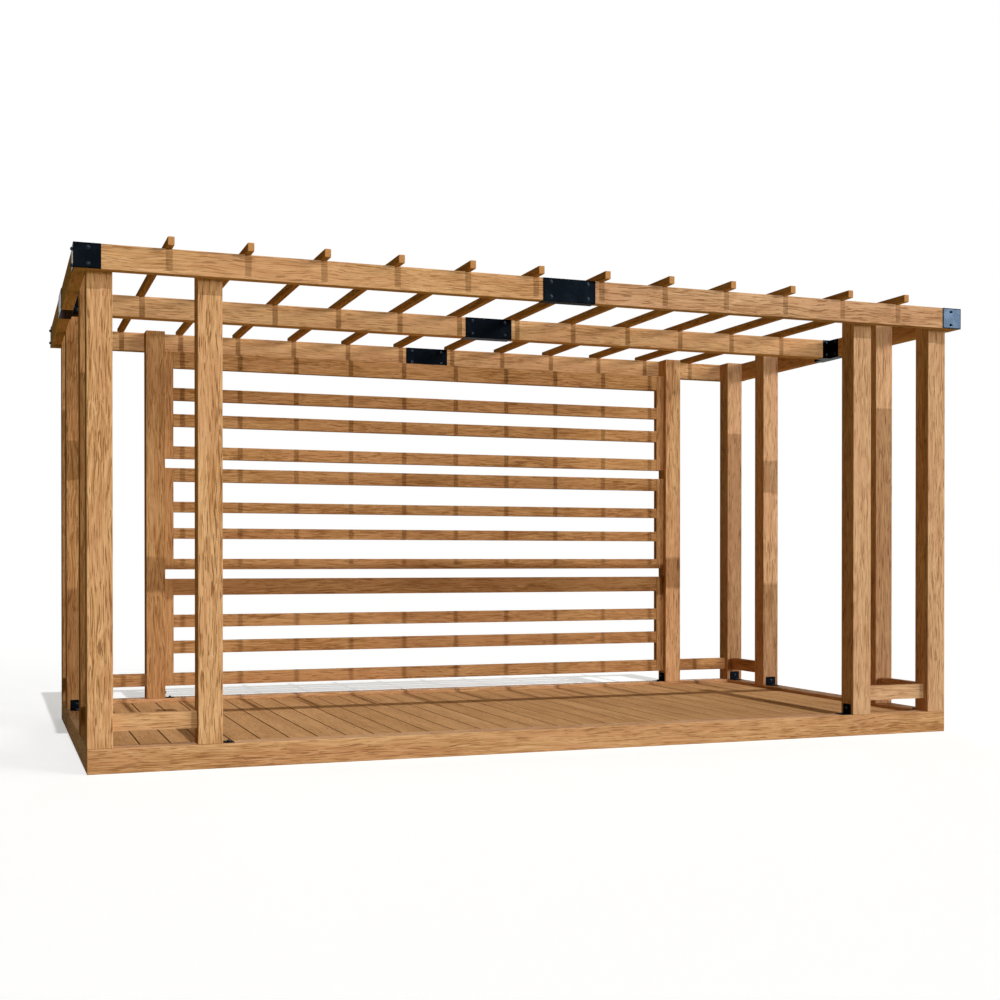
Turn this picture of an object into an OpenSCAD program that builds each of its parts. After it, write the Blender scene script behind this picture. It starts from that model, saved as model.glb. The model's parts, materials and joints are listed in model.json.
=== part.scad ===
// Open timber gazebo: a plank deck in a heavy base frame, three posts at each corner,
// bolted beams, a roof of battens and a rear wall of slatted panels.
// Origin on the ground at the middle of the plan; X along the long side, the open front faces -Y.

/* [Plan] */
// Length of the base frame over its outer faces, along X
base_l = 4910; // [4000:10:6200]
// Depth of the base frame over its outer faces, along Y
base_w = 2495; // [2050:5:3200]
// Clear gap between a corner post and its neighbour along the front or rear
post_gap_x = 400; // [200:10:700]
// Clear gap between a corner post and its neighbour along a side
post_gap_y = 394; // [150:2:550]

/* [Base] */
// Width of the base frame members
rim_w = 120; // [110:2:180]
// Height of the base frame members
rim_h = 120; // [110:2:180]
// Depth of the deck surface below the top of the base frame
deck_drop = 20; // [5:1:30]
// Thickness of the deck boards
deck_t = 28; // [18:1:40]
// Width of a floor joist
joist_w = 45; // [30:5:80]
// Number of floor joists
joist_n = 6; // [3:1:9]

/* [Posts] */
// Side of the square posts
post_s = 120; // [100:2:150]
// Length of the posts
post_h = 2388; // [1950:2:2900]

/* [Beams] */
// Height of every beam
beam_h = 120; // [100:2:180]
// Thickness of the four outer beams
beam_t = 60; // [40:2:100]
// Thickness of the middle beam
mid_beam_t = 82; // [60:1:120]

/* [Battens] */
// Width of a roof batten
batten_w = 32; // [20:1:60]
// Height of a roof batten
batten_h = 42; // [25:1:80]
// Number of roof battens
batten_n = 12; // [6:2:20]
// Reach of the battens beyond the front and rear beams
batten_reach = 80; // [20:2:200]

/* [Slatted wall] */
// Thickness of the slatted panels and of the low rails
panel_t = 45; // [25:1:80]
// Width of the upright at each end of a panel
stile_w = 58; // [40:2:100]
// Gap between the base frame and the lowest panel or low rail
wall_lift = 78; // [70:1:120]
// Gap between one panel and the next
panel_gap = 61; // [10:1:100]
// Gap between the top panel and the underside level of the beams
wall_top_gap = 3; // [2:1:60]
// How much shorter the middle panel is than the other two
mid_panel_drop = 36; // [0:2:60]
// Height of the bottom rail of an outer panel, and of the low rails
rail_h = 82; // [50:1:100]
// Height of the slats of an outer panel
slat_h = 82; // [40:1:100]
// Height of the top rail of an outer panel
head_h = 108; // [60:1:130]
// Gap between the two slats of an outer panel
slat_gap = 89; // [40:1:120]
// Height of the slats and the bottom rail of the middle panel
mid_slat_h = 70; // [40:1:90]
// Height of the top rail of the middle panel
mid_head_h = 89; // [50:1:110]
// Gap between the two slats of the middle panel
mid_slat_gap = 103; // [40:1:130]

/* [Fittings] */
// Thickness of the steel plates
plate_t = 3; // [2:0.5:8]
// Reach of a corner bracket along each beam, from the corner of the timber
corner_leg = 124; // [80:2:200]
// Length of a splice saddle along its beam
splice_l = 300; // [200:10:500]
// Length of a hanger along the side beam
hanger_l = 280; // [180:10:400]
// Reach of a hanger along the middle beam
hanger_leg = 51; // [40:1:150]
// Width of a post foot bracket
foot_w = 75; // [40:1:90]
// Length of each leg of a post foot bracket
foot_leg = 60; // [30:2:66]

/* [Hidden] */

base_color = "#a9743f";
deck_color = "#b07c48";
post_color = "#b5824c";
beam_color = "#b98650";
batten_color = "#a8733c";
panel_color = "#ad7a46";
steel_color = "#14181d";

half_l = base_l / 2;
half_w = base_w / 2;

// Centres of the posts: the corner ones, then those a gap further in
corner_x = half_l - post_s / 2;
corner_y = half_w - post_s / 2;
inner_x = corner_x - post_s - post_gap_x;
inner_y = corner_y - post_s - post_gap_y;

beam_top = rim_h + post_h;
beam_z = beam_top - beam_h;
wall_z = rim_h + wall_lift;
batten_pitch = base_l / (batten_n + 1);

// Faces of the rear posts that the slatted wall fits between, and its middle plane
wall_half_l = inner_x - post_s / 2;
wall_y = corner_y;
outer_panel_h = (beam_z - wall_top_gap - wall_z - 2 * panel_gap + mid_panel_drop) / 3;
mid_panel_h = outer_panel_h - mid_panel_drop;

// A box centred on x and y, standing on z
module block(size, x, y, z) {
    translate([x - size.x / 2, y - size.y / 2, z])
        cube(size);
}

// ---- base ----

module rim_long(side) {
    color(base_color)
        block([base_l, rim_w, rim_h], 0, side * (half_w - rim_w / 2), 0);
}

module rim_short(side) {
    color(base_color)
        block([rim_w, base_w - 2 * rim_w, rim_h], side * (half_l - rim_w / 2), 0, 0);
}

module rim_front() { rim_long(-1); }
module rim_rear() { rim_long(1); }
module rim_left() { rim_short(-1); }
module rim_right() { rim_short(1); }

module deck() {
    color(deck_color)
        block([base_l - 2 * rim_w, base_w - 2 * rim_w, deck_t], 0, 0, rim_h - deck_drop - deck_t);
}

module floor_joists() {
    first_y = half_w - rim_w - joist_w / 2;
    joist_pitch = 2 * first_y / (joist_n - 1);
    color(base_color)
        for (i = [0 : joist_n - 1])
            block([base_l - 2 * rim_w, joist_w, rim_h - deck_drop - deck_t],
                  0, i * joist_pitch - first_y, 0);
}

// ---- posts and low rails ----

module post(x, y) {
    color(post_color)
        block([post_s, post_s, post_h], x, y, rim_h);
}

module post_front_left_corner() { post(-corner_x, -corner_y); }
module post_front_left() { post(-inner_x, -corner_y); }
module post_front_right() { post(inner_x, -corner_y); }
module post_front_right_corner() { post(corner_x, -corner_y); }
module post_rear_left_corner() { post(-corner_x, corner_y); }
module post_rear_left() { post(-inner_x, corner_y); }
module post_rear_right() { post(inner_x, corner_y); }
module post_rear_right_corner() { post(corner_x, corner_y); }
module post_left_front() { post(-corner_x, -inner_y); }
module post_left_rear() { post(-corner_x, inner_y); }
module post_right_front() { post(corner_x, -inner_y); }
module post_right_rear() { post(corner_x, inner_y); }

// The two low rails of one corner, each between the corner post and a neighbour
module low_rails(side_x, side_y) {
    color(panel_color) {
        block([post_gap_x, panel_t, rail_h],
              side_x * (corner_x + inner_x) / 2, side_y * corner_y, wall_z);
        block([panel_t, post_gap_y, rail_h],
              side_x * corner_x, side_y * (corner_y + inner_y) / 2, wall_z);
    }
}

module low_rails_front_left() { low_rails(-1, -1); }
module low_rails_front_right() { low_rails(1, -1); }
module low_rails_rear_left() { low_rails(-1, 1); }
module low_rails_rear_right() { low_rails(1, 1); }

// ---- beams ----

// Half of a front or rear beam, from the middle out to past the side beam
module long_beam(side_x, side_y) {
    length = half_l + beam_t;
    color(beam_color)
        block([length, beam_t, beam_h], side_x * length / 2, side_y * (half_w + beam_t / 2), beam_z);
}

module middle_beam(side_x) {
    length = half_l - plate_t;
    color(beam_color)
        block([length, mid_beam_t, beam_h], side_x * length / 2, 0, beam_z);
}

module side_beam(side_x) {
    color(beam_color)
        block([beam_t, base_w, beam_h], side_x * (half_l + beam_t / 2), 0, beam_z);
}

module beam_front_left() { long_beam(-1, -1); }
module beam_front_right() { long_beam(1, -1); }
module beam_rear_left() { long_beam(-1, 1); }
module beam_rear_right() { long_beam(1, 1); }
module beam_middle_left() { middle_beam(-1); }
module beam_middle_right() { middle_beam(1); }
module beam_left_side() { side_beam(-1); }
module beam_right_side() { side_beam(1); }

module battens() {
    color(batten_color)
        for (i = [1 : batten_n])
            block([batten_w, base_w + 2 * (beam_t + batten_reach), batten_h],
                  i * batten_pitch - half_l, 0, beam_top);
}

// ---- slatted rear wall ----

// One framed panel: two stiles, a bottom rail, two slats and a top rail
module wall_panel(z, height, bottom_h, bar_h, top_h, bar_gap) {
    outer_gap = (height - bottom_h - top_h - 2 * bar_h - bar_gap) / 2;
    low_bar_z = bottom_h + outer_gap;
    high_bar_z = low_bar_z + bar_h + bar_gap;
    window_l = 2 * (wall_half_l - stile_w);
    cut_t = 2 * panel_t;
    color(panel_color)
        difference() {
            block([2 * wall_half_l, panel_t, height], 0, wall_y, z);
            block([window_l, cut_t, outer_gap], 0, wall_y, z + bottom_h);
            block([window_l, cut_t, bar_gap], 0, wall_y, z + low_bar_z + bar_h);
            block([window_l, cut_t, outer_gap], 0, wall_y, z + high_bar_z + bar_h);
        }
}

module wall_panel_bottom() {
    wall_panel(wall_z, outer_panel_h, rail_h, slat_h, head_h, slat_gap);
}

module wall_panel_middle() {
    wall_panel(wall_z + outer_panel_h + panel_gap, mid_panel_h,
               mid_slat_h, mid_slat_h, mid_head_h, mid_slat_gap);
}

module wall_panel_top() {
    wall_panel(wall_z + outer_panel_h + mid_panel_h + 2 * panel_gap, outer_panel_h,
               rail_h, slat_h, head_h, slat_gap);
}

// ---- steel fittings ----

// A U of plate under a beam that runs along X, its sides reaching the top of the beam
module saddle(length, width, x, y) {
    difference() {
        block([length, width + 2 * plate_t, beam_h + plate_t], x, y, beam_z - plate_t);
        block([length + 2 * plate_t, width, beam_h + plate_t], x, y, beam_z);
    }
}

module splice_front() {
    color(steel_color)
        saddle(splice_l, beam_t, 0, -half_w - beam_t / 2);
}

module splice_middle() {
    color(steel_color)
        saddle(splice_l, mid_beam_t, 0, 0);
}

module splice_rear() {
    color(steel_color)
        saddle(splice_l, beam_t, 0, half_w + beam_t / 2);
}

// A saddle on the side beam with a shoe that holds the end of the middle beam
module hanger(side_x) {
    shoe_l = plate_t + hanger_leg;
    color(steel_color)
        union() {
            translate([side_x * (half_l + beam_t / 2), 0, 0])
                rotate([0, 0, 90])
                    saddle(hanger_l, beam_t, 0, 0);
            saddle(shoe_l, mid_beam_t, side_x * (half_l - shoe_l / 2), 0);
        }
}

module hanger_left() { hanger(-1); }
module hanger_right() { hanger(1); }

// An angle of plate round the outer corner where two beams meet
module corner_bracket(side_x, side_y) {
    leg = corner_leg + plate_t;
    outer_x = half_l + beam_t + plate_t;
    outer_y = half_w + beam_t + plate_t;
    color(steel_color)
        union() {
            block([leg, plate_t, beam_h],
                  side_x * (outer_x - leg / 2), side_y * (outer_y - plate_t / 2), beam_z);
            block([plate_t, leg, beam_h],
                  side_x * (outer_x - plate_t / 2), side_y * (outer_y - leg / 2), beam_z);
        }
}

module corner_bracket_front_left() { corner_bracket(-1, -1); }
module corner_bracket_front_right() { corner_bracket(1, -1); }
module corner_bracket_rear_left() { corner_bracket(-1, 1); }
module corner_bracket_rear_right() { corner_bracket(1, 1); }

// An angle that ties a post to the base frame, on the post face turned to the given angle
module foot(x, y, angle) {
    translate([x, y, rim_h])
        rotate([0, 0, angle])
            translate([post_s / 2, -foot_w / 2, 0]) {
                cube([plate_t, foot_w, foot_leg]);
                cube([foot_leg, foot_w, plate_t]);
            }
}

module post_feet() {
    color(steel_color)
        for (side_x = [-1, 1], side_y = [-1, 1]) {
            foot(side_x * inner_x, side_y * corner_y, side_x < 0 ? 0 : 180);
            foot(side_x * corner_x, side_y * inner_y, side_y < 0 ? 90 : -90);
            foot(side_x * corner_x, side_y * corner_y, side_y < 0 ? 90 : -90);
        }
}

rim_front();
rim_rear();
rim_left();
rim_right();
deck();
floor_joists();
post_front_left_corner();
post_front_left();
post_front_right();
post_front_right_corner();
post_rear_left_corner();
post_rear_left();
post_rear_right();
post_rear_right_corner();
post_left_front();
post_left_rear();
post_right_front();
post_right_rear();
low_rails_front_left();
low_rails_front_right();
low_rails_rear_left();
low_rails_rear_right();
beam_front_left();
beam_front_right();
beam_middle_left();
beam_middle_right();
beam_rear_left();
beam_rear_right();
beam_left_side();
beam_right_side();
battens();
wall_panel_bottom();
wall_panel_middle();
wall_panel_top();
splice_front();
splice_middle();
splice_rear();
hanger_left();
hanger_right();
corner_bracket_front_left();
corner_bracket_front_right();
corner_bracket_rear_left();
corner_bracket_rear_right();
post_feet();
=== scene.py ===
"""Looks of the open timber gazebo: oiled oak with eased edges, a boarded deck, framed slat panels
and black plates with their bolts, in plain light on a pale floor. Everything is in metres."""

import json
import math
import random

import bmesh
import bpy
from mathutils import Matrix, Vector


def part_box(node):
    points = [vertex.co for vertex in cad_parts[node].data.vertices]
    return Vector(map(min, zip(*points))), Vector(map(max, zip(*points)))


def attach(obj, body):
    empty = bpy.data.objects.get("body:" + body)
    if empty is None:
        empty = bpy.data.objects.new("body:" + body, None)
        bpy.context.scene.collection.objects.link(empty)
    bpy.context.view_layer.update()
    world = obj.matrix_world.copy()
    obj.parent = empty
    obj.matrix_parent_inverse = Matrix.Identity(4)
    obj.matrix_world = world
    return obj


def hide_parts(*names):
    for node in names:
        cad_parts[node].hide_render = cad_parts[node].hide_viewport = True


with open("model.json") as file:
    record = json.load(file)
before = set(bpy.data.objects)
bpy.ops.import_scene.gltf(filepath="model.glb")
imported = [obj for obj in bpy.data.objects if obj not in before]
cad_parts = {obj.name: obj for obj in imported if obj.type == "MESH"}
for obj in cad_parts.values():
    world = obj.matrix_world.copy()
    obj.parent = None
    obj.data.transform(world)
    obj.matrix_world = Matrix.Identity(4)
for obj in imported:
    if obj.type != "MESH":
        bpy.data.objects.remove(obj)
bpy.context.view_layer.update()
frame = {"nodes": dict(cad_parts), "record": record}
nodes = frame["nodes"]
slots = {row["node"]: row["material_slot"] for row in frame["record"]["subparts"]}

# ---- sizes ----

# Eased edges
TIMBER_EASE = 0.003
DECK_EASE = 0.0012
PLATE_EASE = 0.0008

# The gap between two deck boards, and the hairline at the ends of boards and slats
DECK_BOARDS = 31
DECK_GAP = 0.008
JOINT_GAP = 0.0003

# Bolts below the top of the beams, then in from the ends of plates or out from a foot's corner
BOLT_DROPS = (0.0205, 0.098)
SPLICE_BOLT_IN = 0.044
CORNER_BOLT_IN = 0.069
HANGER_BOLT_IN = 0.032
SHOE_BOLT_IN = 0.027
FOOT_BOLT_OUT = 0.036

# Screws in from the sides of a deck board, and the height of their heads
SCREW_IN = 0.03
SCREW_RISE = 0.0007

# How far a hexagon is turned about its bolt, in radians
HEXAGON_TURN = 0.3

# Corners this close in height to the top of a piece are its top corners
SAME_LEVEL = 0.001


def linear(red, green, blue):
    """A colour given as it looks on a screen, 0 to 255 a channel, as Blender's linear values."""
    return tuple((c / 255 / 12.92) if c <= 10 else ((c / 255 + 0.055) / 1.055) ** 2.4
                 for c in (red, green, blue)) + (1,)


# ---- building materials from nodes ----

class Nodes:
    """Short calls that build the node tree of one material."""

    def __init__(self, name):
        self.material = bpy.data.materials.new(name)
        self.material.use_nodes = True
        self.tree = self.material.node_tree
        self.tree.nodes.clear()

    def feed(self, socket, value):
        if isinstance(value, bpy.types.NodeSocket):
            self.tree.links.new(value, socket)
        else:
            socket.default_value = value

    def add(self, kind, settings=None, **inputs):
        node = self.tree.nodes.new(kind)
        for key, value in (settings or {}).items():
            setattr(node, key, value)
        for key, value in inputs.items():
            self.feed(node.inputs[key.replace("_", " ")], value)
        return node

    def attribute(self, name):
        return self.add("ShaderNodeAttribute", {"attribute_name": name}).outputs["Vector"]

    def math(self, operation, a, b=0.0, clamp=False):
        node = self.add("ShaderNodeMath", {"operation": operation, "use_clamp": clamp})
        self.feed(node.inputs[0], a)
        self.feed(node.inputs[1], b)
        return node.outputs[0]

    def vector(self, operation, a, b=(0, 0, 0)):
        node = self.add("ShaderNodeVectorMath", {"operation": operation})
        self.feed(node.inputs[0], a)
        self.feed(node.inputs[1], b)
        return node.outputs["Value" if operation == "LENGTH" else "Vector"]

    def parts(self, vector):
        return self.add("ShaderNodeSeparateXYZ", Vector=vector).outputs

    def noise(self, place, stretch, detail=3.0, roughness=0.5):
        place = self.vector("MULTIPLY", place, stretch)
        node = self.add("ShaderNodeTexNoise", Vector=place, Scale=1.0, Detail=detail,
                        Roughness=roughness)
        return node.outputs["Fac"]

    def drift(self, place, stretch, reach):
        """A slow vector that wanders about zero, by up to half of reach."""
        place = self.vector("MULTIPLY", place, stretch)
        node = self.add("ShaderNodeTexNoise", Vector=place, Scale=1.0, Detail=1.0)
        about_zero = self.vector("SUBTRACT", node.outputs["Color"], (0.5, 0.5, 0.5))
        return self.vector("MULTIPLY", about_zero, reach)

    def about_half(self, value, strength):
        """How far a value is above or below one half, times strength."""
        return self.math("MULTIPLY", self.math("SUBTRACT", value, 0.5), strength)

    def step(self, value, start, end):
        """0 before start, 1 after end, smooth between; start may be the larger."""
        node = self.add("ShaderNodeMapRange", {"interpolation_type": "SMOOTHSTEP"}, Value=value)
        flip = start > end
        self.feed(node.inputs["From Min"], min(start, end))
        self.feed(node.inputs["From Max"], max(start, end))
        self.feed(node.inputs["To Min"], 1.0 if flip else 0.0)
        self.feed(node.inputs["To Max"], 0.0 if flip else 1.0)
        return node.outputs["Result"]

    def mix(self, factor, a, b):
        node = self.add("ShaderNodeMix", {"data_type": "RGBA"})
        self.feed(node.inputs[0], factor)
        self.feed(node.inputs[6], a)
        self.feed(node.inputs[7], b)
        return node.outputs[2]

    def edge_distance(self, local, half):
        """Metres from a point on a box to the box's nearest edge, and to its nearer end."""
        gap = self.parts(self.vector("SUBTRACT", half, self.vector("ABSOLUTE", local)))
        low = self.math("MINIMUM", gap[0], gap[1])
        high = self.math("MAXIMUM", gap[0], gap[1])
        second = self.math("MAXIMUM", low, self.math("MINIMUM", high, gap[2]))
        return second, gap[0]

    def finish(self, colour, roughness, height, depth, metallic=0.0, specular=0.5,
               tint=(1, 1, 1, 1)):
        bump = self.add("ShaderNodeBump", Height=height, Strength=1.0, Distance=depth)
        shader = self.add("ShaderNodeBsdfPrincipled", Base_Color=colour, Roughness=roughness,
                          Metallic=metallic, Specular_IOR_Level=specular, Specular_Tint=tint,
                          Normal=bump.outputs["Normal"])
        output = self.add("ShaderNodeOutputMaterial")
        self.tree.links.new(shader.outputs["BSDF"], output.inputs["Surface"])
        return self.material


def wood(name, pale, deep, pore, end, rose, grain=1.0, gleam=0.0):
    """Planed oak. The attribute local is the place in the timber, x along its grain, seed sets one
    timber apart from the next, and half is half its size. Grain is how strongly its grain shows,
    and gleam is the shine of its surface. A noise has so many cells to the metre along the grain
    and so many across it."""
    n = Nodes(name)
    local, half, seed = n.attribute("local"), n.attribute("half"), n.attribute("seed")
    place = n.vector("ADD", local, seed)
    own = n.parts(n.add("ShaderNodeTexWhiteNoise", Vector=seed).outputs["Color"])

    # The fibres wander a few degrees off the length of the timber
    fibre = n.vector("ADD", place, n.drift(place, (3.2, 7, 7), (0, 0.04, 0.04)))
    bands = n.noise(fibre, (0.9, 13, 13), 3)
    streaks = n.noise(fibre, (6.0, 105, 105), 4, 0.6)
    dashes = n.noise(fibre, (9, 190, 190), 2, 0.4)
    specks = n.noise(fibre, (60, 900, 900), 2)

    # Knots are balls scattered in the timber; only those that a face cuts show
    spread = n.vector("MULTIPLY", place, (1.5, 5.5, 5.5))
    cells = n.add("ShaderNodeTexVoronoi", Vector=spread, Scale=1.0)
    to_knot = cells.outputs["Distance"]
    rare = n.step(n.parts(cells.outputs["Color"])[0], 0.62, 0.66)
    knot = n.math("MULTIPLY", n.step(to_knot, 0.085, 0.045), rare)
    round_knot = n.math("MULTIPLY", n.step(to_knot, 0.34, 0.05), rare)

    # Growth rings round a pith that leans, so that they open into long arches on flat faces
    rings_per_metre = 145
    along = n.parts(local)[0]
    lean = n.add("ShaderNodeCombineXYZ", Y=along, Z=along).outputs["Vector"]
    lean = n.vector("MULTIPLY", lean, (0, 0.021, 0.012))
    lean = n.vector("ADD", lean, n.drift(place, (1.3, 6, 6), (0, 0.03, 0.03)))
    pith = n.vector("ADD", n.vector("MULTIPLY", place, (0, 1, 1)), lean)
    radius = n.math("ADD", n.vector("LENGTH", pith), n.math("MULTIPLY", round_knot, 0.02))
    ring = n.math("FRACT", n.math("MULTIPLY", radius, rings_per_metre))
    late_wood = n.math("MULTIPLY", n.step(ring, 0.35, 0.95), n.step(ring, 1.0, 0.95))

    # From pale to deep, by streaks, broad bands, late wood and each timber's own shade
    usual_tone = 0.38
    tone = n.about_half(streaks, 2.6 * grain)
    tone = n.math("ADD", tone, n.about_half(bands, 1.1))
    tone = n.math("ADD", tone, n.math("MULTIPLY", late_wood, 0.22))
    tone = n.math("ADD", tone, n.about_half(own[0], 0.3))
    colour = n.mix(n.math("ADD", tone, usual_tone, clamp=True), pale, deep)
    rosy = n.math("MULTIPLY", n.step(n.noise(place, (1.6, 9, 9), 2), 0.42, 0.62), 0.4)
    colour = n.mix(rosy, colour, rose)

    # Dark open pores, in short dashes that crowd together in the darker bands
    crowd = n.math("ADD", dashes, n.about_half(bands, 0.3))
    pores = n.math("MULTIPLY", n.step(crowd, 0.565, 0.635), 0.8 * grain)
    pores = n.math("ADD", pores, n.math("MULTIPLY", n.step(specks, 0.60, 0.72), 0.35), clamp=True)
    colour = n.mix(n.math("MULTIPLY", pores, 0.7), colour, pore)
    colour = n.mix(n.math("MULTIPLY", knot, 0.85), colour, pore)
    colour = n.mix(n.math("MULTIPLY", round_knot, 0.25), colour, deep)

    # Edges wear paler along a ragged line, and the ends show their growth rings
    to_edge, to_end = n.edge_distance(local, half)
    ragged = n.about_half(streaks, 0.012)
    worn = n.step(n.math("ADD", to_edge, ragged), 0.005, 0.0)
    colour = n.mix(n.math("MULTIPLY", worn, 0.35), colour, pale)
    end_face = n.step(to_end, 0.0022, 0.0012)
    end_rings = n.mix(n.math("MULTIPLY", late_wood, 0.6), end, deep)
    colour = n.mix(n.math("MULTIPLY", end_face, 0.8), colour, end_rings)

    # Moisture darkens the last hand's breadth before an end a little
    damp_line = n.math("ADD", to_end, n.math("MULTIPLY", ragged, 6))
    damp = n.math("MULTIPLY", n.step(damp_line, 0.09, 0.0), 0.12)
    colour = n.mix(damp, colour, deep)

    roughness = n.math("ADD", n.math("MULTIPLY", pores, 0.2), n.math("MULTIPLY", streaks, 0.2))
    roughness = n.math("ADD", roughness, 0.5)
    height = n.math("SUBTRACT", n.math("MULTIPLY", late_wood, 0.35), pores)
    height = n.math("ADD", height, n.math("MULTIPLY", streaks, 0.5))
    return n.finish(colour, roughness, height, 0.0005, specular=gleam)


def coated_steel(name, colour, worn_colour, gloss, edge_on):
    """Blackened steel: a fine peel in the coat, a little dust, and a blacker, duller line along the
    edges, a painted dark reflection that stands in for the dark surroundings that rounded edges
    mirror. It takes its edges from the attributes local and half, and edge_on is how much it shines
    where it is seen edge on."""
    n = Nodes(name)
    place = n.add("ShaderNodeTexCoord").outputs["Object"]
    peel = n.noise(place, (900, 900, 900), 2)
    dust = n.noise(place, (14, 14, 14), 4, 0.65)
    shade = n.mix(n.step(dust, 0.45, 0.75), colour, worn_colour)
    to_edge, _ = n.edge_distance(n.attribute("local"), n.attribute("half"))
    # Painted dark reflection: a thin line along the edges goes nearly black, and rougher
    painted_dark_edge = n.step(n.math("ADD", to_edge, n.math("MULTIPLY", dust, 0.002)), 0.0080, 0.0035)
    shade = n.mix(n.math("MULTIPLY", painted_dark_edge, 0.85), shade, linear(4, 5, 7))
    roughness = n.math("ADD", n.math("MULTIPLY", dust, 0.05), gloss)
    roughness = n.math("ADD", roughness, n.math("MULTIPLY", painted_dark_edge, 0.1))
    return n.finish(shade, roughness, peel, 0.00001, metallic=1.0,
                    tint=(edge_on, edge_on, edge_on, 1))


def bolt_metal(name):
    """Dark plated bolts, turned and a little scuffed."""
    n = Nodes(name)
    place = n.add("ShaderNodeTexCoord").outputs["Object"]
    scuff = n.noise(place, (220, 220, 220), 3, 0.6)
    colour = n.mix(n.step(scuff, 0.35, 0.7), linear(54, 61, 69), linear(32, 36, 42))
    roughness = n.math("ADD", n.math("MULTIPLY", scuff, 0.2), 0.2)
    return n.finish(colour, roughness, scuff, 0.0001, metallic=1.0, tint=(0.3, 0.3, 0.3, 1))


PALE, DEEP = linear(226, 182, 134), linear(182, 131, 83)
PORE, END, ROSE = linear(122, 76, 40), linear(205, 148, 96), linear(208, 153, 113)
# The oak of each material slot
OAK = {
    "base_timber": wood("base_oak", linear(217, 173, 126), linear(175, 125, 79), PORE, END,
                        linear(200, 146, 107), gleam=0.004),
    "post_timber": wood("post_oak", PALE, DEEP, PORE, END, ROSE, grain=1.35),
    "beam_timber": wood("beam_oak", PALE, DEEP, PORE, END, ROSE, grain=0.9),
    "batten_timber": wood("batten_oak", linear(214, 166, 108), linear(168, 119, 66), PORE, END,
                          linear(205, 156, 102)),
    "panel_timber": wood("panel_oak", linear(206, 158, 108), linear(160, 111, 64), PORE, END,
                         linear(198, 144, 102), grain=1.2),
    "deck_boards": wood("deck_oak", linear(216, 169, 119), linear(176, 128, 80),
                        linear(118, 76, 42), linear(150, 100, 60), linear(192, 146, 102),
                        grain=0.45),
}
# Painted shade: a darker oak for the rear-left timbers and the lower wall panels, which less light
# reaches
SHADE_PAINTED_OAK = wood("shade_painted_oak", linear(198, 153, 105), linear(153, 105, 60), PORE, END,
                linear(180, 126, 85), grain=1.2)
# Painted sheen: a rosier oak for the right-hand timbers, where the front-right light glances off
# them
SHEEN_PAINTED_OAK = wood("sheen_painted_oak", linear(223, 182, 142), linear(180, 134, 94), linear(122, 78, 48), END,
                linear(206, 154, 120), grain=1.1)
# Painted light: a paler oak for the middle beams, making up for the light that the front beam keeps
# off them
LIGHT_PAINTED_MIDDLE_OAK = wood("light_painted_middle_beam_oak", linear(234, 190, 142), linear(192, 141, 92), PORE, END,
                  linear(218, 163, 123), grain=0.9)
# Timbers paler, darker or rosier than their neighbours: the middle beams paler as painted light,
# the rear-left timbers and the lower wall panels darker as painted shade, and the right-hand
# timbers rosier as a painted sheen; the front left low rails take the beam oak
ODD_TIMBERS = {
    LIGHT_PAINTED_MIDDLE_OAK: ("beam_middle_left", "beam_middle_right"),
    SHADE_PAINTED_OAK: ("post_rear_left_corner", "post_rear_left", "post_left_rear", "post_left_front",
               "low_rails_rear_left", "wall_panel_bottom", "wall_panel_middle"),
    SHEEN_PAINTED_OAK: ("post_front_right", "post_front_right_corner", "post_rear_right_corner",
               "post_right_front", "post_right_rear", "beam_front_right", "low_rails_front_right"),
    OAK["beam_timber"]: ("low_rails_front_left",),
}
odd_oak = {name: oak for oak, names in ODD_TIMBERS.items() for name in names}
STEEL = coated_steel("black_coat", linear(14, 19, 25), linear(21, 27, 34), 0.17, 0.25)
FOOT_STEEL = coated_steel("foot_coat", linear(12, 16, 22), linear(20, 25, 32), 0.50, 0.0)
BOLT = bolt_metal("bolt_metal")


# ---- meshes ----

def solids(mesh):
    """Vertex numbers of each separate solid of a mesh. Vertices at one place count as joined."""
    leader = list(range(len(mesh.vertices)))

    def root(i):
        while leader[i] != i:
            leader[i] = leader[leader[i]]
            i = leader[i]
        return i

    first_at = {}
    for vertex in mesh.vertices:
        place = tuple(round(c, 5) for c in vertex.co)
        leader[root(vertex.index)] = root(first_at.setdefault(place, vertex.index))
    for edge in mesh.edges:
        leader[root(edge.vertices[0])] = root(edge.vertices[1])
    groups = {}
    for i in range(len(leader)):
        groups.setdefault(root(i), []).append(i)
    return [groups[key] for key in sorted(groups)]


def extent(points):
    """The low and the high corner of the box round some points."""
    low, high = (Vector([pick(p[k] for p in points) for k in range(3)]) for pick in (min, max))
    return low, high


def solid_boxes(mesh):
    """The box round each separate solid of a mesh."""
    return [extent([mesh.vertices[i].co for i in members]) for members in solids(mesh)]


def mark_grain(mesh, name):
    """Writes the attributes that wood() and coated_steel() read. The grain runs along each solid's
    longest side."""
    rng = random.Random(name)
    values = {key: [0.0] * (3 * len(mesh.vertices)) for key in ("local", "half", "seed")}
    for members in solids(mesh):
        low, high = extent([mesh.vertices[i].co for i in members])
        order = sorted(range(3), key=lambda k: low[k] - high[k])
        seed = [rng.uniform(0, 60), rng.uniform(-0.13, 0.13), rng.uniform(-0.13, 0.13)]
        for i in members:
            for place, k in enumerate(order):
                centre = (low[k] + high[k]) / 2
                values["local"][3 * i + place] = mesh.vertices[i].co[k] - centre
                values["half"][3 * i + place] = (high[k] - low[k]) / 2
                values["seed"][3 * i + place] = seed[place]
    for key, numbers in values.items():
        mesh.attributes.new(key, "FLOAT_VECTOR", "POINT").data.foreach_set("vector", numbers)


def ease(piece, width):
    """Rounds the edges of a CAD node, whose own mesh stays as it is."""
    piece.modifiers.new("Weld", "WELD").merge_threshold = 0.0001
    bevel = piece.modifiers.new("Ease", "BEVEL")
    bevel.width = width
    bevel.segments = 2
    bevel.limit_method = "ANGLE"


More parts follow.
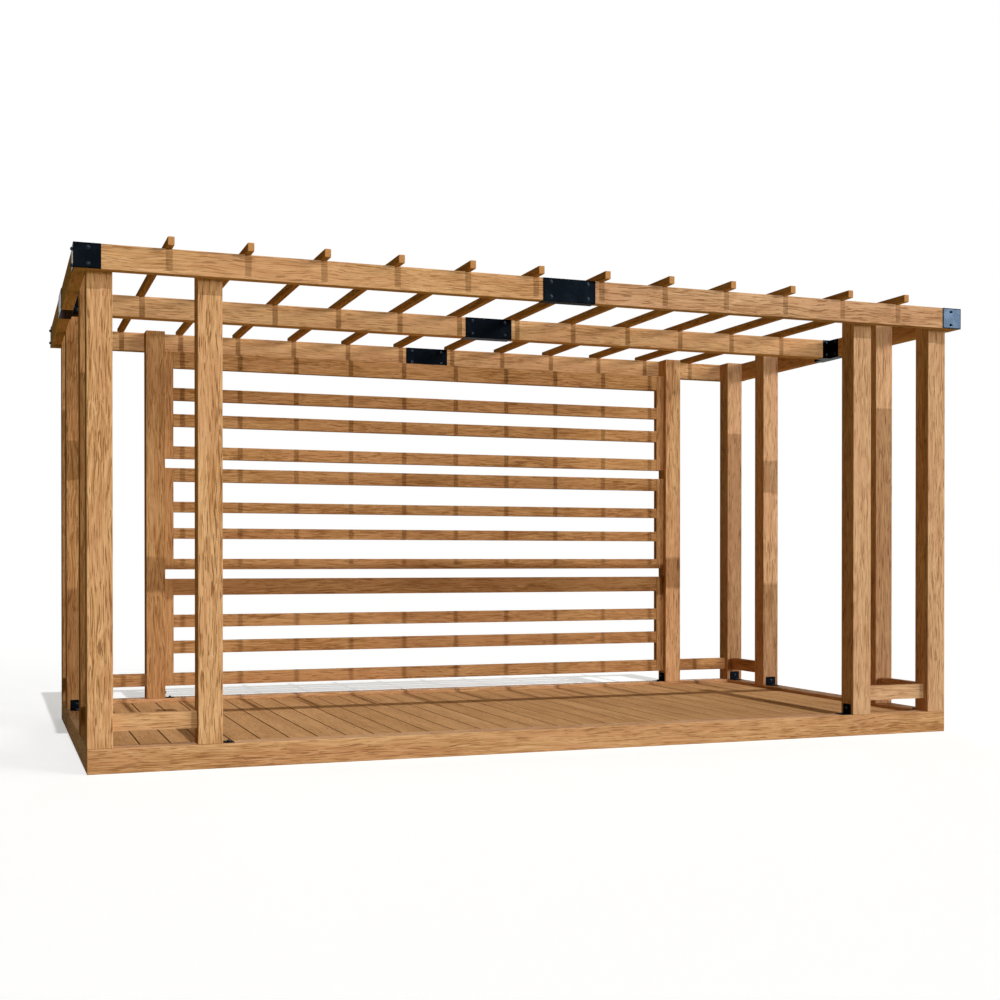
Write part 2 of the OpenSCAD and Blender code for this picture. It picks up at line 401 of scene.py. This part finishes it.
def dress(piece, material):
    piece.data.materials.clear()
    piece.data.materials.append(material)


def new_piece(name, build, material, stands_for=()):
    """A piece from a mesh in the frame's place, on the one body. It may stand for CAD nodes."""
    mesh = bpy.data.meshes.new(name)
    build.to_mesh(mesh)
    build.free()
    piece = bpy.data.objects.new(name, mesh)
    bpy.context.scene.collection.objects.link(piece)
    dress(piece, material)
    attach(piece, "root")
    if stands_for:
        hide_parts(*stands_for)
    return piece


def add_board(build, low, high, width):
    """One planed board with its edges eased by width."""
    size = [b - a for a, b in zip(low, high)]
    middle = Matrix.Translation([(a + b) / 2 for a, b in zip(low, high)])
    made = bmesh.ops.create_cube(build, size=1, matrix=middle @ Matrix.Diagonal((*size, 1)))
    edges = {edge for vertex in made["verts"] for edge in vertex.link_edges}
    bmesh.ops.bevel(build, geom=list(edges), offset=width, segments=2, profile=0.5,
                    affect="EDGES", clamp_overlap=True)


def timber_piece(name, boards, slot, stands_for, width=TIMBER_EASE):
    """Boards joined into one piece that stands for one CAD node. Each board is (low, high)."""
    build = bmesh.new()
    for low, high in boards:
        add_board(build, low, high, width)
    material = odd_oak.get(stands_for, OAK[slot])
    piece = new_piece(name, build, material, [stands_for])
    mark_grain(piece.data, name)


def add_turned(build, fixing, spot, outward, spin=0.0):
    """A turned or hexagonal fixing, on its spot and facing outward."""
    sides, profile = fixing
    turn = outward.to_track_quat("Z", "Y").to_matrix().to_4x4()
    place = Matrix.Translation(spot) @ turn @ Matrix.Rotation(spin, 4, "Z")
    angles = [math.tau * i / sides for i in range(sides)]
    rings = []
    for radius, height in profile:
        corners = [Vector((radius * math.cos(a), radius * math.sin(a), height)) for a in angles]
        rings.append([build.verts.new(place @ corner) for corner in corners])
    for lower, upper in zip(rings, rings[1:]):
        for i in range(sides):
            j = (i + 1) % sides
            build.faces.new((lower[i], lower[j], upper[j], upper[i]))
    build.faces.new(rings[-1])
    build.faces.new(rings[0][::-1])


# A fixing is its number of sides, and (radius, height) from its seat to its top
WASHER = 24, [(0.0100, 0.0), (0.0100, 0.0012), (0.0096, 0.0016)]
HEXAGON = 6, [(0.0084, 0.0014), (0.0084, 0.0052), (0.0077, 0.0058)]
CAP = 20, [(0.0070, 0.0054), (0.0068, 0.0066), (0.0060, 0.0080), (0.0044, 0.0089),
           (0.0023, 0.0094), (0.0008, 0.0095)]
STUD = 16, [(0.0045, 0.0054), (0.0045, 0.0084), (0.0040, 0.0089)]
COUNTERSUNK = 20, [(0.0085, 0.0), (0.0085, 0.0004), (0.0070, 0.0008), (0.0040, 0.0003)]
SCREW = 10, [(0.0045, 0.0), (0.0045, 0.0004), (0.0040, SCREW_RISE), (0.0022, 0.0004)]


def bolt(build, spot, outward, top):
    """A washer and a hexagon with its top: the domed cap of a head, or the stud in a nut."""
    add_turned(build, WASHER, spot, outward)
    add_turned(build, HEXAGON, spot, outward, spin=HEXAGON_TURN)
    add_turned(build, top, spot, outward)


# ---- CAD nodes and boards ----

WALL_PANELS = ("wall_panel_bottom", "wall_panel_middle", "wall_panel_top")
for name, node in nodes.items():
    if name == "deck" or name in WALL_PANELS:
        continue
    mark_grain(node.data, name)
    if slots[name] == "black_steel":
        ease(node, PLATE_EASE)
        dress(node, FOOT_STEEL if name == "post_feet" else STEEL)
    else:
        ease(node, TIMBER_EASE)
        dress(node, odd_oak.get(name, OAK[slots[name]]))

deck_low, deck_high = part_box("deck")
pitch = (deck_high.x - deck_low.x) / DECK_BOARDS
board_sides = [(deck_low.x + i * pitch, deck_low.x + i * pitch + pitch) for i in range(DECK_BOARDS)]
boards = []
for left, right in board_sides:
    boards.append(((left + DECK_GAP / 2, deck_low.y + JOINT_GAP, deck_low.z),
                   (right - DECK_GAP / 2, deck_high.y - JOINT_GAP, deck_high.z)))
timber_piece("deck_planks", boards, "deck_boards", "deck", DECK_EASE)


def levels(node, axis):
    """The different values of one coordinate in a node's corners, in order."""
    return sorted({round(v.co[axis], 4) for v in node.data.vertices})


# Each panel has a stile at either end, from x0 to x1 and from x2 to x3, and slats between them
for name in WALL_PANELS:
    (x0, x1, x2, x3), (y0, y1), zs = (levels(nodes[name], axis) for axis in range(3))
    boards = [((x0, y0, zs[0]), (x1, y1, zs[-1])), ((x2, y0, zs[0]), (x3, y1, zs[-1]))]
    for low, high in zip(zs[::2], zs[1::2]):
        boards.append(((x1 + JOINT_GAP, y0, low), (x2 - JOINT_GAP, y1, high)))
    timber_piece(name + "_slats", boards, "panel_timber", name)


# ---- bolts and screws ----

RIGHT = Vector((1, 0, 0))
BACK = Vector((0, 1, 0))
UP = Vector((0, 0, 1))
beam_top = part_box("beam_front_left")[1].z


def side_of(side, low, high):
    """The high end of a span for side 1, and its low end for side -1."""
    return high if side > 0 else low


def bolt_row(name, heads, nuts, flush):
    """One joined piece of bolts: heads, nuts and flush heads are lists of (spot, outward)."""
    build = bmesh.new()
    for spot, outward in flush:
        add_turned(build, COUNTERSUNK, spot, outward)
    for spot, outward in heads:
        bolt(build, spot, outward, CAP)
    for spot, outward in nuts:
        bolt(build, spot, outward, STUD)
    new_piece(name, build, BOLT)


# A splice has capped heads on its outer side and nuts on its inner side, where the rear one has
# flush heads
for name, side in (("splice_front", -1), ("splice_middle", -1), ("splice_rear", 1)):
    low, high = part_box(name)
    heads, backs = [], []
    for x in (low.x + SPLICE_BOLT_IN, high.x - SPLICE_BOLT_IN):
        for drop in BOLT_DROPS:
            z = beam_top - drop
            heads.append((Vector((x, side_of(side, low.y, high.y), z)), BACK * side))
            backs.append((Vector((x, side_of(-side, low.y, high.y), z)), BACK * -side))
    nuts, flush = ([], backs) if name == "splice_rear" else (backs, [])
    bolt_row(name + "_bolts", heads, nuts, flush)

for side_y, y_name in ((-1, "front"), (1, "rear")):
    for side_x, x_name in ((-1, "left"), (1, "right")):
        name = f"corner_bracket_{y_name}_{x_name}"
        low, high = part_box(name)
        x, y = side_of(side_x, low.x, high.x), side_of(side_y, low.y, high.y)
        heads = []
        for drop in BOLT_DROPS:
            z = beam_top - drop
            heads.append((Vector((x - side_x * CORNER_BOLT_IN, y, z)), BACK * side_y))
            heads.append((Vector((x, y - side_y * CORNER_BOLT_IN, z)), RIGHT * side_x))
        bolt_row(name + "_bolts", heads, [], [])

# A hanger holds the middle beam in a shoe on the side beam's inner face
for side, x_name in ((-1, "left"), (1, "right")):
    name = f"hanger_{x_name}"
    low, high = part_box(name)
    beam_low, beam_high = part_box(f"beam_{x_name}_side")
    middle_low, middle_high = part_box("beam_middle_left")
    outer_x = side_of(side, low.x, high.x)
    plate = abs(outer_x - side_of(side, beam_low.x, beam_high.x))
    inner_x = side_of(-side, beam_low.x, beam_high.x) - side * plate
    shoe_x = side_of(-side, low.x, high.x) + side * SHOE_BOLT_IN
    heads, nuts, flush = [], [], []
    for drop in BOLT_DROPS:
        z = beam_top - drop
        for y in (low.y + HANGER_BOLT_IN, high.y - HANGER_BOLT_IN):
            flush.append((Vector((outer_x, y, z)), RIGHT * side))
            nuts.append((Vector((inner_x, y, z)), RIGHT * -side))
        heads.append((Vector((shoe_x, middle_low.y - plate, z)), BACK * -1))
        nuts.append((Vector((shoe_x, middle_high.y + plate, z)), BACK))
    bolt_row(name + "_bolts", heads, nuts, flush)

# Each foot is an angle: its upright leg is on the post and its flat leg on the base frame
feet_mesh = nodes["post_feet"].data
build = bmesh.new()
for members in solids(feet_mesh):
    points = [feet_mesh.vertices[i].co for i in members]
    low, high = extent(points)
    tall = [p for p in points if p.z > high.z - SAME_LEVEL]
    back = sum(tall, Vector()) / len(tall)
    middle = (low + high) / 2
    away = Vector((middle.x - back.x, middle.y - back.y, 0)).normalized()
    thick = max(abs((p - back).dot(away)) for p in tall)
    upright = Vector((back.x, back.y, low.z + FOOT_BOLT_OUT)) + away * thick
    flat = Vector((back.x, back.y, low.z + 2 * thick)) + away * (FOOT_BOLT_OUT - thick)
    bolt(build, upright, away, CAP)
    bolt(build, flat, UP, CAP)
new_piece("post_foot_bolts", build, BOLT)

# Two screws to a deck board over each joist
joist_lines = [(low.y + high.y) / 2 for low, high in solid_boxes(nodes["floor_joists"].data)]
build = bmesh.new()
for left, right in board_sides:
    for y in joist_lines:
        for x in (left + SCREW_IN, right - SCREW_IN):
            add_turned(build, SCREW, Vector((x, y, deck_high.z)), UP)
new_piece("deck_screws", build, BOLT)

# One screw through each batten over each beam, sunk until it is level with the batten's top
beam_boxes = [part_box(f"beam_{place}_left") for place in ("front", "middle", "rear")]
beam_lines = [(low.y + high.y) / 2 for low, high in beam_boxes]
build = bmesh.new()
for low, high in solid_boxes(nodes["battens"].data):
    for y in beam_lines:
        spot = Vector(((low.x + high.x) / 2, y, high.z - SCREW_RISE))
        add_turned(build, SCREW, spot, UP)
new_piece("batten_screws", build, BOLT)


# ---- floor, light and camera ----

FLOOR_SIZE = 160
WHITE = (1, 1, 1, 1)


def camera_sees(tree):
    """1 where a ray comes from the camera, a mirror or glass, and 0 for light that bounces."""
    path = tree.nodes.new("ShaderNodeLightPath").outputs
    total = path["Is Camera Ray"]
    for name in ("Is Glossy Ray", "Is Transmission Ray"):
        add = tree.nodes.new("ShaderNodeMath")
        add.operation = "ADD"
        add.use_clamp = True
        tree.links.new(total, add.inputs[0])
        tree.links.new(path[name], add.inputs[1])
        total = add.outputs[0]
    return total


def make_floor():
    """A pale floor that shows the shadow softly; bounced light meets a darker, warmer one. It lies
    just below the base, so that the two faces never share a level."""
    below_base = 0.0005
    bpy.ops.mesh.primitive_plane_add(size=FLOOR_SIZE, location=(0, 0, -below_base))
    floor = bpy.context.object
    floor.name = "floor"
    n = Nodes("floor_white")
    glow = n.add("ShaderNodeEmission", Color=WHITE, Strength=0.45)
    pale = n.add("ShaderNodeBsdfDiffuse", Color=(0.75, 0.75, 0.75, 1))
    bounced = n.add("ShaderNodeBsdfDiffuse", Color=(0.35, 0.31, 0.125, 1))
    seen = n.add("ShaderNodeAddShader")
    n.tree.links.new(glow.outputs[0], seen.inputs[0])
    n.tree.links.new(pale.outputs[0], seen.inputs[1])
    pick = n.add("ShaderNodeMixShader")
    n.tree.links.new(camera_sees(n.tree), pick.inputs[0])
    n.tree.links.new(bounced.outputs[0], pick.inputs[1])
    n.tree.links.new(seen.outputs[0], pick.inputs[2])
    n.tree.links.new(pick.outputs[0], n.add("ShaderNodeOutputMaterial").inputs["Surface"])
    dress(floor, n.material)


def make_world(level, colour):
    """White where the camera sees it, and elsewhere an even light of this level and colour."""
    world = bpy.data.worlds.new("plain_white")
    world.use_nodes = True
    bpy.context.scene.world = world
    tree = world.node_tree
    tree.nodes.clear()
    dim = tree.nodes.new("ShaderNodeBackground")
    dim.inputs["Strength"].default_value = level
    dim.inputs["Color"].default_value = (*colour, 1)
    white = tree.nodes.new("ShaderNodeBackground")
    white.inputs["Color"].default_value = WHITE
    pick = tree.nodes.new("ShaderNodeMixShader")
    tree.links.new(camera_sees(tree), pick.inputs[0])
    tree.links.new(dim.outputs[0], pick.inputs[1])
    tree.links.new(white.outputs[0], pick.inputs[2])
    tree.links.new(pick.outputs[0], tree.nodes.new("ShaderNodeOutputWorld").inputs["Surface"])


def make_sun(name, heading, level, spread, colour=(1, 1, 1)):
    """Parallel light that travels along heading. At level 1 a surface square to it shows its own
    colour. The spread, in degrees, softens the light."""
    light = bpy.data.lights.new(name, "SUN")
    light.color = colour
    light.energy = level * math.pi
    light.angle = math.radians(spread)
    lamp = bpy.data.objects.new(name, light)
    lamp.rotation_euler = Vector(heading).to_track_quat("-Z", "Y").to_euler()
    bpy.context.scene.collection.objects.link(lamp)


make_floor()
make_world(0.045, (1, 0.9, 0.42))
make_sun("key", (0, 1, -1.35), 0.57, 0.5, (0.96, 0.98, 1))
make_sun("front_fill", (-0.79, 0.60, -0.16), 0.63, 40, (1, 0.95, 0.89))
make_sun("front_glint", (-0.62, 0.77, -0.16), 0.24, 7)
make_sun("top_fill", (0, 0.1, -1), 0.06, 60)
make_sun("back_fill", (-0.35, -1, -0.15), 0.4, 30)

# The camera stands left of the front, about a metre above the floor, and looks almost level
camera_data = bpy.data.cameras.new("camera")
camera_data.sensor_width = 36
camera_data.lens = 49.79
camera_data.shift_y = 0.069
camera = bpy.data.objects.new("camera", camera_data)
camera.location = (-2.883, -8.067, 1.016)
camera.rotation_euler = (math.radians(89.66), 0, math.radians(-20.23))
bpy.context.scene.collection.objects.link(camera)
bpy.context.scene.camera = camera
bpy.context.scene.view_settings.view_transform = "Standard"
